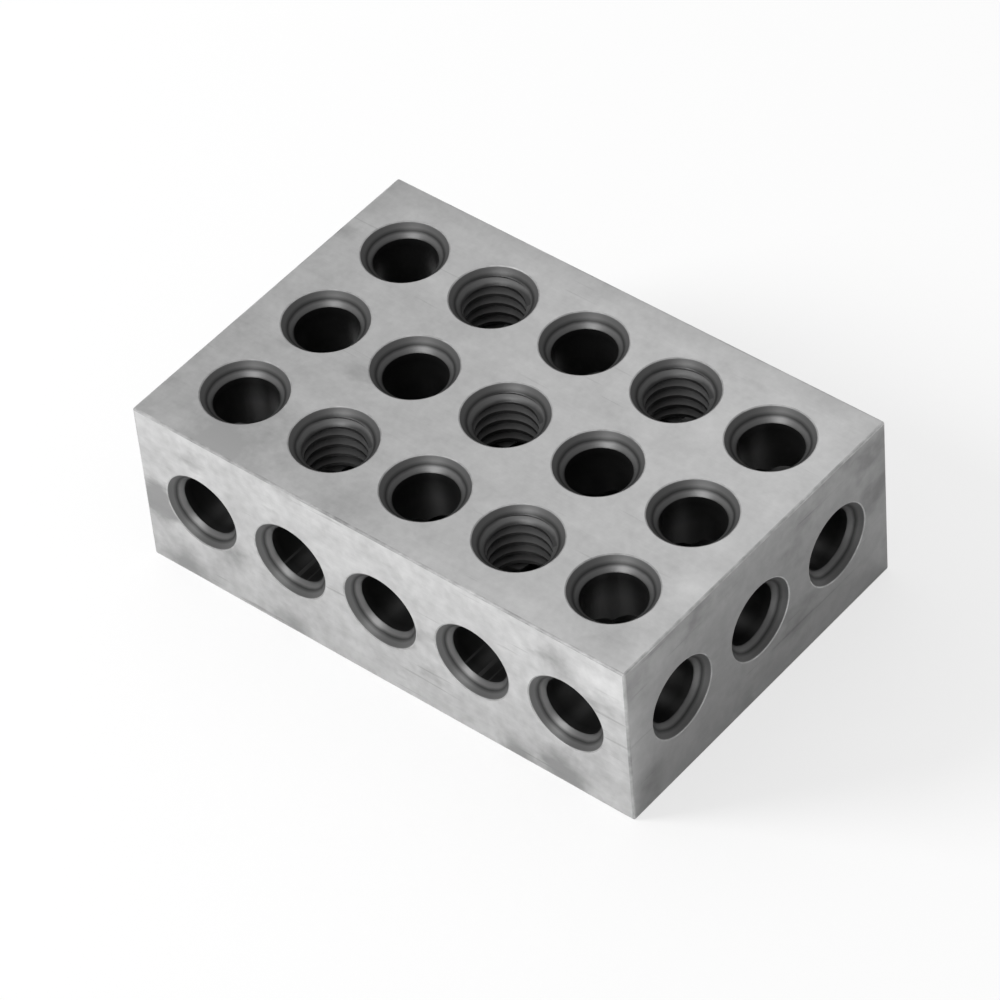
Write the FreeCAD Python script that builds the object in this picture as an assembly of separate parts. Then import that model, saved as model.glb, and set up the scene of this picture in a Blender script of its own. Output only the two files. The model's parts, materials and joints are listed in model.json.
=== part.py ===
import FreeCAD, Part
import math
import os

# A setup block of hardened steel, ground square on all six faces: one solid, bored through in
# three directions so that a bolt can pass between any two opposite faces.
# Millimetres. The origin is at the middle of the underside, X runs along the length,
# Y along the width and Z up through the thickness.

inch = 25.4

# Block
length = 3 * inch
width = 2 * inch
thickness = 1 * inch
edge_break = 0.3               # chamfer stoned along every edge

# Hole pattern: columns are counted along the length, rows along the width
columns = 5
rows = 3
end_margin = 0.375 * inch      # from an end face to the nearest column
side_margin = 0.4 * inch       # from a long face to the nearest row
cross_height = thickness / 2   # the holes that run level lie at mid-thickness

# Holes
plain_bore = 0.328125 * inch   # 21/64, which clears a 5/16 inch bolt
tapped_bore = 0.3125 * inch    # 5/16, to tap 3/8-16; the thread's ridges are not in this solid
sink_width = 0.0625 * inch     # ring of the countersink around the larger bore
sink_angle = 90                # of the whole cone
overrun = 1                    # how far a cutter stands out of each face

mouth = max(plain_bore, tapped_bore) + 2 * sink_width  # every countersink opens to one diameter

X_AXIS = FreeCAD.Vector(1, 0, 0)
Y_AXIS = FreeCAD.Vector(0, 1, 0)
Z_AXIS = FreeCAD.Vector(0, 0, 1)


def spaced(span, margin, count):
    """Places of a row of holes, spread evenly about the middle of a side."""
    reach = span / 2 - margin
    return [reach * (2 * step / (count - 1) - 1) for step in range(count)]


def is_tapped(column, row):
    """Every other hole of the grid is tapped, apart from those beside the end faces."""
    return 0 < column < columns - 1 and (column + row) % 2 == 1


def cutter(bore, depth):
    """A tool for one through hole along Z, with a countersink at each mouth."""
    slope = math.tan(math.radians(sink_angle / 2))
    radius = bore / 2
    sink = (mouth / 2 - radius) / slope
    flare = mouth / 2 + overrun * slope
    half_outline = [(0, -overrun), (flare, -overrun), (radius, sink),
                    (radius, depth - sink), (flare, depth + overrun), (0, depth + overrun)]
    corners = [FreeCAD.Vector(out, 0, up) for out, up in half_outline]
    profile = Part.Face(Part.makePolygon(corners + corners[:1]))
    return profile.revolve(FreeCAD.Vector(), Z_AXIS, 360)


def placed(tool, start, direction):
    """A copy of a cutter that starts on one face and runs to the opposite one."""
    copy = tool.copy()
    copy.Placement = FreeCAD.Placement(start, FreeCAD.Rotation(Z_AXIS, direction))
    return copy


def hole_cutters():
    """Tools for all the through holes: the grid down through the block, then those that cross it."""
    column_places = spaced(length, end_margin, columns)
    row_places = spaced(width, side_margin, rows)
    plain = cutter(plain_bore, thickness)
    tapped = cutter(tapped_bore, thickness)
    across = cutter(plain_bore, width)
    along = cutter(plain_bore, length)
    cutters = []
    for column, x in enumerate(column_places):
        for row, y in enumerate(row_places):
            tool = tapped if is_tapped(column, row) else plain
            cutters.append(placed(tool, FreeCAD.Vector(x, y, 0), Z_AXIS))
        cutters.append(placed(across, FreeCAD.Vector(x, -width / 2, cross_height), Y_AXIS))
    for y in row_places:
        cutters.append(placed(along, FreeCAD.Vector(-length / 2, y, cross_height), X_AXIS))
    return cutters


def setup_block():
    """The ground block with its edges broken and every hole bored through."""
    corner = FreeCAD.Vector(-length / 2, -width / 2, 0)
    blank = Part.makeBox(length, width, thickness, corner)
    blank = blank.makeChamfer(edge_break, blank.Edges)
    return blank.cut(hole_cutters()).removeSplitter()


def export(shape, node):
    """Write one sub-part as a STEP file named after its node."""
    print(node, "solids", len(shape.Solids), "valid", shape.isValid(), "mm3", round(shape.Volume, 1))
    shape.exportStep("parts/" + node + ".step")


os.makedirs("parts", exist_ok=True)
export(setup_block(), "setup_block")
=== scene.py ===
import bpy
import json
import math
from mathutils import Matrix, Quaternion, Vector

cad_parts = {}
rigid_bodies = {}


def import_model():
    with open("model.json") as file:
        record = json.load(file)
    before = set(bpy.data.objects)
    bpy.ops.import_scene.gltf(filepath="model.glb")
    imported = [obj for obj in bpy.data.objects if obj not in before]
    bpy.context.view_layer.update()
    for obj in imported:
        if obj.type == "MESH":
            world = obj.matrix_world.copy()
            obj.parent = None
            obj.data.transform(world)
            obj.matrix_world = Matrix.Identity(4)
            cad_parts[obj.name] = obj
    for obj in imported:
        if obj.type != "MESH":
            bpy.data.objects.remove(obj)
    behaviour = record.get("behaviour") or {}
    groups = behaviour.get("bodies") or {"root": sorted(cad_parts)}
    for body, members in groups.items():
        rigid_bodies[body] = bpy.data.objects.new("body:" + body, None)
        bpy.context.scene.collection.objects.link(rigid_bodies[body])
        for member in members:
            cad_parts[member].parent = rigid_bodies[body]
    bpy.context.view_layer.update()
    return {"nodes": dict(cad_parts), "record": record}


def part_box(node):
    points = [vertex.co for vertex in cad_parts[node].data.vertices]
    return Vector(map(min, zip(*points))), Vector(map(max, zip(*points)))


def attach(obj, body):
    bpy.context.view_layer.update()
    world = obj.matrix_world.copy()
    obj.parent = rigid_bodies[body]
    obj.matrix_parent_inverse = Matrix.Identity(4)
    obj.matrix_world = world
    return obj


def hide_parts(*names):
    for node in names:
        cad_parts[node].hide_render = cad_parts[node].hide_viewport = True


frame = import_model()
print("frame loaded", sorted(frame["nodes"]))

blockNode = "setup_block"
blockLow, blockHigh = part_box(blockNode)
blockSize = blockHigh - blockLow
blockMiddle = (blockLow + blockHigh) / 2
mounts = {mount["name"]: mount["dims"] for mount in frame["record"]["mounts"]}
millimetre = 0.001
quarterTurn = math.pi / 2


# handling objects

def deselectAll():
    if bpy.context.object and bpy.context.object.mode != "OBJECT":
        bpy.ops.object.mode_set(mode="OBJECT")
    bpy.ops.object.select_all(action="DESELECT")


def pick(piece):
    deselectAll()
    piece.select_set(True)
    bpy.context.view_layer.objects.active = piece


def applyPlace(piece):
    pick(piece)
    bpy.ops.object.transform_apply(location=True, rotation=True, scale=True)


def applyModifier(piece, kind, **settings):
    pick(piece)
    modifier = piece.modifiers.new(kind.lower(), kind)
    for name, value in settings.items():
        setattr(modifier, name, value)
    bpy.ops.object.modifier_apply(modifier=modifier.name)


def editAll(piece):
    pick(piece)
    bpy.ops.object.mode_set(mode="EDIT")
    bpy.ops.mesh.select_all(action="SELECT")


def editChosen(piece, selectMode, elements, wanted):
    # opens edit mode with only the wanted vertices or faces selected
    pick(piece)
    bpy.ops.object.mode_set(mode="EDIT")
    bpy.ops.mesh.select_mode(type=selectMode)
    bpy.ops.mesh.select_all(action="DESELECT")
    bpy.ops.object.mode_set(mode="OBJECT")
    for element in elements:
        element.select = wanted(element)
    bpy.ops.object.mode_set(mode="EDIT")


def leaveEdit():
    bpy.ops.object.mode_set(mode="OBJECT")


# shader graphs

class Wire:
    # one output socket; arithmetic on it adds Math nodes to its graph
    def __init__(self, graph, socket):
        self.graph = graph
        self.socket = socket

    def math(self, operation, first, second):
        return self.graph.add("ShaderNodeMath", {"operation": operation}, {0: first, 1: second})

    def __add__(self, other):
        return self.math("ADD", self, other)

    def __radd__(self, other):
        return self.math("ADD", other, self)

    def __sub__(self, other):
        return self.math("SUBTRACT", self, other)

    def __rsub__(self, other):
        return self.math("SUBTRACT", other, self)

    def __mul__(self, other):
        return self.math("MULTIPLY", self, other)

    def __rmul__(self, other):
        return self.math("MULTIPLY", other, self)


class Graph:
    def __init__(self, owner):
        owner.use_nodes = True
        self.tree = owner.node_tree
        self.tree.nodes.clear()

    def add(self, kind, settings=None, sockets=None, output=0):
        node = self.tree.nodes.new(kind)
        for name, value in (settings or {}).items():
            if name == "stops":
                self.setStops(node.color_ramp, value)
            else:
                setattr(node, name, value)
        for name, value in (sockets or {}).items():
            if isinstance(value, Wire):
                self.tree.links.new(value.socket, node.inputs[name])
            else:
                node.inputs[name].default_value = value
        if not node.outputs:
            return None
        return Wire(self, node.outputs[output])

    def setStops(self, ramp, stops):
        while len(ramp.elements) < len(stops):
            ramp.elements.new(1.0)
        for element, (place, level) in zip(ramp.elements, stops):
            element.position = place
            element.color = (level, level, level, 1)

    def fromMiddle(self):
        point = self.add("ShaderNodeTexCoord", output="Object")
        return self.add("ShaderNodeVectorMath", {"operation": "SUBTRACT"}, {0: point, 1: blockMiddle})

    def stretched(self, scale):
        # the piece's own coordinates, scaled along each axis, in millimetres
        point = self.add("ShaderNodeTexCoord", output="Object")
        perMetre = [part / millimetre for part in scale]
        return self.add("ShaderNodeMapping", None, {"Vector": point, "Scale": perMetre})

    def noise(self, scale, detail=2.0, roughness=0.5, distortion=0.0):
        sockets = {"Vector": self.stretched(scale), "Scale": 1.0, "Detail": detail,
                   "Roughness": roughness, "Distortion": distortion}
        return self.add("ShaderNodeTexNoise", None, sockets)

    def ramp(self, factor, stops):
        return self.add("ShaderNodeValToRGB", {"stops": stops}, {0: factor})

    def between(self, first, second, factor):
        # a colour between two others
        sockets = {0: factor, 6: first, 7: second}
        return self.add("ShaderNodeMix", {"data_type": "RGBA"}, sockets, output=2)


def makeMaterial(name, build, spec):
    material = bpy.data.materials.new(name)
    graph = Graph(material)
    shader = build(graph, spec)
    graph.add("ShaderNodeOutputMaterial", None, {"Surface": shader})
    return material


def grey(level):
    return (level, level, level, 1)


# the block

blockSpec = {
    "edgeRound": 0.3 * millimetre,      # edges broken after grinding
    "edgeSteps": 3,
    "boreSides": 96,
    "lip": 0.08 * millimetre,           # softened rim of each countersink
    "overrun": 1.0 * millimetre,
    "threadPitch": 25.4 / 16 * millimetre,
    "threadDiameter": 0.375 * 25.4 * millimetre,
    "threadAngle": math.radians(60),
    "threadInset": 0.1 * millimetre,    # the groove starts this far inside the bore
    "threadSteps": 72,                  # round one turn
    "smoothAngle": math.radians(20),
    "capFacing": 0.9,                   # a face that points this much along Z is a drill's end cap
    "weldGap": 1e-7,
}

columnCount, rowCount = 5, 3
columnGap = mounts["corner_holes"]["spacing_x_mm"] / (columnCount - 1) * millimetre
rowGap = mounts["corner_holes"]["spacing_y_mm"] / (rowCount - 1) * millimetre
columnPlaces = [(column - (columnCount - 1) / 2) * columnGap for column in range(columnCount)]
rowPlaces = [(row - (rowCount - 1) / 2) * rowGap for row in range(rowCount)]
plainRadius = mounts["corner_holes"]["hole_r_mm"] * millimetre
tappedRadius = mounts["centre_tapped_hole"]["r_mm"] * millimetre
tappedLength = mounts["centre_tapped_hole"]["length_mm"] * millimetre
mouthRadius = tappedRadius + (blockSize.z - tappedLength) / 2


def isTapped(column, row):
    return 0 < column < columnCount - 1 and (column + row) % 2 == 1


def makeBlank():
    deselectAll()
    bpy.ops.mesh.primitive_cube_add(size=1, location=blockMiddle)
    blank = bpy.context.object
    blank.name = "groundBlock"
    blank.scale = blockSize
    applyPlace(blank)
    editAll(blank)
    bpy.ops.mesh.bevel(offset=blockSpec["edgeRound"], segments=blockSpec["edgeSteps"], affect="EDGES")
    # scribed through every hole centre, so that no face is left with a whole hole inside it
    scribes = [((x, 0, 0), (1, 0, 0)) for x in columnPlaces]
    scribes += [((0, y, 0), (0, 1, 0)) for y in rowPlaces]
    scribes.append((blockMiddle, (0, 0, 1)))
    for place, normal in scribes:
        bpy.ops.mesh.select_all(action="SELECT")
        bpy.ops.mesh.bisect(plane_co=place, plane_no=normal)
    leaveEdit()
    return blank


def makeDrill(name, radius, depth):
    # a drill with a countersink at each end, along Z about the origin
    deselectAll()
    sink = mouthRadius - radius
    lip = blockSpec["lip"]
    bpy.ops.mesh.primitive_cylinder_add(vertices=blockSpec["boreSides"], radius=radius,
                                        depth=depth - 2 * sink)
    drill = bpy.context.object
    drill.name = name
    steps = [(sink - lip, (mouthRadius - 2 * lip) / radius),
             (lip, mouthRadius / (mouthRadius - 2 * lip)),
             (blockSpec["overrun"], 1.0)]
    for end in (1, -1):
        editChosen(drill, "FACE", drill.data.polygons,
                   lambda face: face.normal.z * end > blockSpec["capFacing"])
        for rise, spread in steps:
            bpy.ops.mesh.extrude_region_move(TRANSFORM_OT_translate={"value": (0, 0, rise * end)})
            bpy.ops.transform.resize(value=(spread, spread, 1), center_override=(0, 0, 0))
        leaveEdit()
    return drill


def makeTap():
    # the groove of one internal thread: its cross-section swept along a helix about Z
    deselectAll()
    pitch = blockSpec["threadPitch"]
    rootRadius = blockSpec["threadDiameter"] / 2
    reach = rootRadius - tappedRadius + blockSpec["threadInset"]
    rootWidth = pitch / 8
    openWidth = rootWidth + 2 * reach * math.tan(blockSpec["threadAngle"] / 2)
    middle = rootRadius - reach / 2
    bpy.ops.mesh.primitive_plane_add(size=1, rotation=(quarterTurn, 0, 0), location=(middle, 0, -pitch))
    groove = bpy.context.object
    groove.name = "tap"
    groove.scale = (reach, rootWidth, 1)
    applyPlace(groove)
    editChosen(groove, "VERT", groove.data.vertices, lambda point: point.co.x < middle)
    bpy.ops.transform.resize(value=(1, 1, openWidth / rootWidth), center_override=(0, 0, -pitch))
    bpy.ops.mesh.select_all(action="SELECT")
    bpy.ops.mesh.delete(type="ONLY_FACE")
    leaveEdit()
    turns = math.ceil(blockSize.z / pitch) + 2
    applyModifier(groove, "SCREW", angle=math.tau, screw_offset=pitch, iterations=turns,
                  steps=blockSpec["threadSteps"], render_steps=blockSpec["threadSteps"])
    editAll(groove)
    bpy.ops.mesh.fill_holes(sides=4)
    bpy.ops.mesh.normals_make_consistent(inside=False)
    leaveEdit()
    return groove


def setTool(tray, tool, place, turn=(0, 0, 0)):
    copy = tool.copy()
    copy.data = tool.data.copy()
    copy.location = place
    copy.rotation_euler = turn
    tray.objects.link(copy)


def boreBlock(blank):
    tray = bpy.data.collections.new("tools")
    bpy.context.scene.collection.children.link(tray)
    plain = makeDrill("plainDrill", plainRadius, blockSize.z)
    tapping = makeDrill("tappingDrill", tappedRadius, blockSize.z)
    across = makeDrill("acrossDrill", plainRadius, blockSize.y)
    along = makeDrill("alongDrill", plainRadius, blockSize.x)
    tap = makeTap()
    for column, x in enumerate(columnPlaces):
        for row, y in enumerate(rowPlaces):
            if isTapped(column, row):
                setTool(tray, tapping, (x, y, blockMiddle.z))
                setTool(tray, tap, (x, y, blockLow.z))
            else:
                setTool(tray, plain, (x, y, blockMiddle.z))
    for x in columnPlaces:
        setTool(tray, across, (x, 0, blockMiddle.z), (quarterTurn, 0, 0))
    for y in rowPlaces:
        setTool(tray, along, (0, y, blockMiddle.z), (0, quarterTurn, 0))
    bpy.context.view_layer.update()
    applyModifier(blank, "BOOLEAN", operation="DIFFERENCE", solver="MANIFOLD",
                  operand_type="COLLECTION", collection=tray)
    for tool in [plain, tapping, across, along, tap, *tray.objects]:
        bpy.data.objects.remove(tool)
    bpy.data.collections.remove(tray)


def tidyMesh(piece):
    editAll(piece)
    bpy.ops.mesh.remove_doubles(threshold=blockSpec["weldGap"])
    leaveEdit()
    pick(piece)
    bpy.ops.object.shade_smooth_by_angle(angle=blockSpec["smoothAngle"])


block = makeBlank()
boreBlock(block)
tidyMesh(block)
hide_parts(blockNode)
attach(block, "root")
print("block bored and threaded, faces", len(block.data.polygons))


# finishes

# grain: how fast each pattern changes per millimetre along X, Y and Z
# the gradient of painted light and shade on each face: how much brighter the finish gets per metre
# along X, Y and Z
# darker and lighter patches, partly stains and partly painted shade and painted light: place from the
# block's middle and reach, in millimetres, then strength, where a negative strength makes a lighter
# patch
faceSpec = {
    # painted light: the top gets brighter towards the right end and the back
    "dark": 0.4, "light": 0.75, "roughness": 0.42, "paintedLightSlope": (5.5, 5.0, 0.0),
    "lines": (0.02, 4.0, 4.0), "lineWeight": 0.16,
    "bands": (0.008, 0.5, 0.5), "bandWeight": 0.16,
    "mottle": (0.2, 0.2, 0.2), "mottleWeight": 0.6,
    "speckle": (1.1, 1.1, 1.1), "speckleWeight": 0.3,
    "smudge": (0.07, 0.12, 0.12), "smudgeFrom": 0.62, "smudgeWeight": 0.25,
    "scuff": (0.08, 1.6, 1.6), "scuffFrom": 0.7, "scuffWeight": 0.15,
    "lineDepth": 0.004 * millimetre,
    "stainsAndPaintedShading": [(-24, -23.5, 12.7, 8, 0.35), (-6, -24, 12.7, 7, 0.25), (33, -22, 12.7, 5, 0.3),
               (36, -10, 12.7, 4, -0.35), (30, 24, 12.7, 5, 0.2)],
}
sideSpec = {
    **faceSpec,
    # painted shade: the long sides get darker towards the bottom
    "dark": 0.34, "light": 0.86, "paintedLightSlope": (0.7, 0.0, 9.0),
    "bandWeight": 0.09,
    "mottle": (0.16, 0.16, 0.2), "mottleWeight": 0.6,
    "speckle": (0.7, 0.7, 0.7), "speckleWeight": 0.45,
    "smudge": (0.09, 0.09, 0.15), "smudgeFrom": 0.6, "smudgeWeight": 0.35,
    "scuff": (0.07, 0.07, 1.5), "scuffFrom": 0.67, "scuffWeight": 0.2,
    "stainsAndPaintedShading": [(-36.0, -25.4, -2.0, 4, 1.0), (-32.6, -25.4, -12.2, 4, 0.55),
               (-24.4, -25.4, -4.6, 4, 0.3), (-15, -25.4, -12.4, 4, 0.4),
               (20.6, -25.4, -12.6, 4, 0.5), (27.5, -25.4, -10.5, 4.5, 0.6),
               (27.8, -25.4, 8.6, 3, 0.35), (35, -25.4, 9, 5, -0.35)],
}
# painted shade: the ends are darker than the top and sides, darker still towards the top and the back,
# with darker patches at their front and back
shadedEndSpec = {
    **sideSpec,
    "dark": 0.27, "light": 0.57, "paintedLightSlope": (0.0, -3.0, -6.0),
    "lines": (4.0, 0.02, 4.0), "bands": (0.5, 0.008, 0.5),
    "mottleWeight": 0.4, "speckleWeight": 0.4, "smudgeWeight": 0.25, "scuffWeight": 0.12,
    "stainsAndPaintedShading": [(38.1, -24.5, 10, 5, 0.4), (38.1, -22, -9, 4, 0.4), (38.1, 24.5, 3, 5, 0.3)],
}
edgeSpec = {
    **faceSpec,
    "dark": 0.34, "light": 0.78, "roughness": 0.7, "paintedLightSlope": (0.0, 0.0, 0.0),
    "mottle": (0.09, 0.09, 0.09), "mottleWeight": 1.6,
    "speckle": (0.9, 0.9, 0.9), "speckleWeight": 0.9,
    "stainsAndPaintedShading": [],
}
boreSpec = {
    "roughness": 0.45, "metallic": 0.9,
    "depths": [(0.0, 0.24), (0.03, 0.13), (0.09, 0.14), (0.145, 0.05), (0.19, 0.18), (0.24, 0.17),
               (0.28, 0.06), (0.45, 0.045), (1.0, 0.11)],
    "rampDepth": 6.0 * millimetre,      # depth under a face at which the ramp ends; the darkening down the bore is partly scale and partly painted shade
    "waver": (0.35, 0.35, 0.35), "waverWeight": 0.25,
}
threadSpec = {
    "dark": 0.08, "light": 0.17, "roughness": 0.6,
    "stain": (0.35, 0.35, 0.35),
}
grainSpec = {
    "smudgeBlur": 0.12, "scuffBlur": 0.06,      # how softly a smudge or a scuff begins
    "lineRoughness": 0.12, "wornRoughness": 0.1,
    "patchGrain": (0.5, 0.5, 0.5), "patchRag": 0.9,
}


def stainsAndShadingOn(graph, stainsAndPaintedShading):
    # soft marks with ragged borders, each at its own place, partly stains and partly painted shade and
    # painted light
    rag = 1 + (graph.noise(grainSpec["patchGrain"], detail=3.0) - 0.5) * grainSpec["patchRag"]
    total = 0.0
    for x, y, z, reach, strength in stainsAndPaintedShading:
        place = (x * millimetre, y * millimetre, z * millimetre)
        away = graph.add("ShaderNodeVectorMath", {"operation": "DISTANCE"},
                         {0: graph.fromMiddle(), 1: place}, output="Value")
        near = graph.ramp(away * (1 / (reach * millimetre)) * rag, [(0.0, 1.0), (1.0, 0.0)])
        total = total + near * strength
    return total


def groundSteel(graph, spec):
    lines = graph.noise(spec["lines"], detail=3.0)
    bands = graph.noise(spec["bands"], detail=1.0)
    mottle = graph.noise(spec["mottle"], detail=4.0, roughness=0.6)
    speckle = graph.noise(spec["speckle"], detail=3.0)
    smudgeStops = [(spec["smudgeFrom"], 0.0), (spec["smudgeFrom"] + grainSpec["smudgeBlur"], 1.0)]
    smudge = graph.ramp(graph.noise(spec["smudge"], detail=4.0), smudgeStops)
    scuffStops = [(spec["scuffFrom"], 0.0), (spec["scuffFrom"] + grainSpec["scuffBlur"], 1.0)]
    scuff = graph.ramp(graph.noise(spec["scuff"], detail=2.0), scuffStops)
    # painted light and shade: a steady gradient across the face
    paintedLightSlope = graph.add("ShaderNodeVectorMath", {"operation": "DOT_PRODUCT"},
                     {0: graph.fromMiddle(), 1: spec["paintedLightSlope"]}, output="Value")
    brightness = (0.5 + (lines - 0.5) * spec["lineWeight"] + (bands - 0.5) * spec["bandWeight"]
                  + (mottle - 0.5) * spec["mottleWeight"] + (speckle - 0.5) * spec["speckleWeight"]
                  + paintedLightSlope - smudge * spec["smudgeWeight"] - scuff * spec["scuffWeight"]
                  - stainsAndShadingOn(graph, spec["stainsAndPaintedShading"]))
    roughness = (spec["roughness"] + (lines - 0.5) * grainSpec["lineRoughness"]
                 + (smudge + scuff) * grainSpec["wornRoughness"])
    bumpSockets = {"Strength": 1.0, "Distance": spec["lineDepth"], "Height": lines}
    bump = graph.add("ShaderNodeBump", None, bumpSockets)
    return graph.add("ShaderNodeBsdfPrincipled", None, {
        "Base Color": graph.between(grey(spec["dark"]), grey(spec["light"]), brightness),
        "Metallic": 1.0, "Roughness": roughness, "Normal": bump})


def depthUnderNearestFace(graph):
    away = graph.add("ShaderNodeVectorMath", {"operation": "ABSOLUTE"}, {0: graph.fromMiddle()})
    under = graph.add("ShaderNodeVectorMath", {"operation": "SUBTRACT"}, {0: blockSize / 2, 1: away})
    parts = [graph.add("ShaderNodeSeparateXYZ", None, {0: under}, output=axis) for axis in "XYZ"]
    nearest = graph.add("ShaderNodeMath", {"operation": "MINIMUM"}, {0: parts[0], 1: parts[1]})
    return graph.add("ShaderNodeMath", {"operation": "MINIMUM"}, {0: nearest, 1: parts[2]})


def drilledSteel(graph, spec):
    # lighter countersink, with a dark ring and a light ring below its rim, that darkens down the bore,
    # partly scale and partly painted shade, and lightens a little deep inside
    waver = graph.noise(spec["waver"], detail=3.0)
    wavering = 1 + (waver - 0.5) * spec["waverWeight"]
    depth = depthUnderNearestFace(graph) * (1 / spec["rampDepth"]) * wavering
    shade = graph.ramp(depth, spec["depths"])
    return graph.add("ShaderNodeBsdfPrincipled", None, {
        "Base Color": shade, "Metallic": spec["metallic"], "Roughness": spec["roughness"]})


def tappedSteel(graph, spec):
    stain = graph.noise(spec["stain"], detail=3.0)
    return graph.add("ShaderNodeBsdfPrincipled", None, {
        "Base Color": graph.between(grey(spec["dark"]), grey(spec["light"]), stain),
        "Metallic": 1.0, "Roughness": spec["roughness"]})


finishSpec = {
    "flatFacing": 0.99,                 # a face that points this much along an axis is a ground one
    "wallShare": 0.98,                  # share of a tapped radius at which its wall begins
}


def depthUnderFaces(point):
    fromMiddle = [abs(place - middle) for place, middle in zip(point, blockMiddle)]
    return min(size / 2 - distance for size, distance in zip(blockSize, fromMiddle))


def inTappedHole(point):
    for column, x in enumerate(columnPlaces):
        for row, y in enumerate(rowPlaces):
            reach = math.hypot(point.x - x, point.y - y)
            if isTapped(column, row) and tappedRadius * finishSpec["wallShare"] < reach < mouthRadius:
                return True
    return False


def finishOf(face):
    depth = depthUnderFaces(face.center)
    flat = finishSpec["flatFacing"]
    if depth > blockSpec["edgeRound"] / 2:
        threaded = inTappedHole(face.center) and depth > mouthRadius - tappedRadius
        return "tappedSteel" if threaded else "drilledSteel"
    if abs(face.normal.z) > flat:
        return "groundFace"
    if abs(face.normal.y) > flat:
        return "groundSide"
    if abs(face.normal.x) > flat:
        return "shadedGroundEnd"
    return "brokenEdge"


finishes = {
    "groundFace": makeMaterial("groundFace", groundSteel, faceSpec),
    "groundSide": makeMaterial("groundSide", groundSteel, sideSpec),
    # the ends take a darker copy of the ground steel: painted shade
    "shadedGroundEnd": makeMaterial("shadedGroundEnd", groundSteel, shadedEndSpec),
    "brokenEdge": makeMaterial("brokenEdge", groundSteel, edgeSpec),
    "drilledSteel": makeMaterial("drilledSteel", drilledSteel, boreSpec),
    "tappedSteel": makeMaterial("tappedSteel", tappedSteel, threadSpec),
}
block.data.materials.clear()            # the cut leaves an empty slot behind
for finish in finishes.values():
    block.data.materials.append(finish)
slotOf = {name: index for index, name in enumerate(finishes)}
for face in block.data.polygons:
    face.material_index = slotOf[finishOf(face)]
print("finishes laid on")


# floor, lights and camera

studioSpec = {
    "floorLevel": 0.95,
    "floorSize": 6.0,
    "seenWhitening": 0.68,
    "mirroredWhitening": 0.03,
    "skyToward": (-0.5, 0.05, 0.86),    # the brighter side of the studio
    "sky": [(0.0, 0.14), (0.25, 0.2), (0.5, 0.32), (0.75, 0.45), (0.93, 0.84), (1.0, 0.95)],
    "keyPlace": (-0.80, -0.68, 0.56),
    "keySize": 0.5,
    "keyPower": 12.5,
    "cardPlace": (0.15, -0.80, 0.57),   # a white card that only the bright metal picks up
    "cardSize": 0.5,
    "cardPower": 4.0,
}


def floorPaper(graph, spec):
    paper = graph.add("ShaderNodeBsdfDiffuse", None, {"Color": grey(spec["floorLevel"])})
    white = graph.add("ShaderNodeEmission", None, {"Color": grey(1.0), "Strength": 1.0})
    seen = graph.add("ShaderNodeLightPath", output="Is Camera Ray")
    mirrored = graph.add("ShaderNodeLightPath", output="Is Glossy Ray")
    through = graph.add("ShaderNodeLightPath", output="Is Transmission Ray")
    factor = seen * spec["seenWhitening"] + (mirrored + through) * spec["mirroredWhitening"]
    return graph.add("ShaderNodeMixShader", None, {0: factor, 1: paper, 2: white})


def makeFloor():
    deselectAll()
    bpy.ops.mesh.primitive_plane_add(size=studioSpec["floorSize"], location=(0, 0, blockLow.z))
    floor = bpy.context.object
    floor.name = "floor"
    floor.data.materials.append(makeMaterial("floorPaper", floorPaper, studioSpec))


def makeLamp(name, place, size, power):
    bpy.ops.object.light_add(type="AREA", location=place)
    lamp = bpy.context.object
    lamp.name = name
    lamp.data.shape = "DISK"
    lamp.data.size = size
    lamp.data.energy = power
    lamp.rotation_euler = (blockMiddle - lamp.location).to_track_quat("-Z", "Y").to_euler()
    return lamp


def makeLights():
    world = bpy.data.worlds.new("studio")
    bpy.context.scene.world = world
    graph = Graph(world)
    direction = graph.add("ShaderNodeTexCoord", output="Generated")
    facing = graph.add("ShaderNodeVectorMath", {"operation": "DOT_PRODUCT"},
                       {0: direction, 1: studioSpec["skyToward"]}, output="Value")
    strength = graph.ramp(0.5 + facing * 0.5, studioSpec["sky"])
    sky = graph.add("ShaderNodeBackground", None, {"Color": grey(1.0), "Strength": strength})
    graph.add("ShaderNodeOutputWorld", None, {"Surface": sky})
    key = makeLamp("key", studioSpec["keyPlace"], studioSpec["keySize"], studioSpec["keyPower"])
    key.visible_glossy = False          # lights the floor and leaves no glare on the steel
    card = makeLamp("card", studioSpec["cardPlace"], studioSpec["cardSize"], studioSpec["cardPower"])
    card.visible_diffuse = False


cameraSpec = {
    "azimuth": math.radians(42.95),
    "elevation": math.radians(45.3),
    "roll": math.radians(5.48),
    "distance": 0.6575,
    "aim": (-0.0006, -0.00179, 0.01181),
    "lens": 193.3,
    "near": 0.01,
    "far": 20,
}


def makeCamera():
    azimuth, elevation = cameraSpec["azimuth"], cameraSpec["elevation"]
    back = Vector((math.sin(azimuth) * math.cos(elevation),
                   -math.cos(azimuth) * math.cos(elevation), math.sin(elevation)))
    bpy.ops.object.camera_add(location=Vector(cameraSpec["aim"]) + back * cameraSpec["distance"])
    camera = bpy.context.object
    camera.rotation_mode = "QUATERNION"
    roll = Quaternion((0, 0, 1), -cameraSpec["roll"])
    camera.rotation_quaternion = (-back).to_track_quat("-Z", "Y") @ roll
    camera.data.lens = cameraSpec["lens"]
    camera.data.clip_start = cameraSpec["near"]
    camera.data.clip_end = cameraSpec["far"]
    bpy.context.scene.camera = camera


makeFloor()
makeLights()
makeCamera()
bpy.context.scene.view_settings.view_transform = "Standard"
print("studio ready")
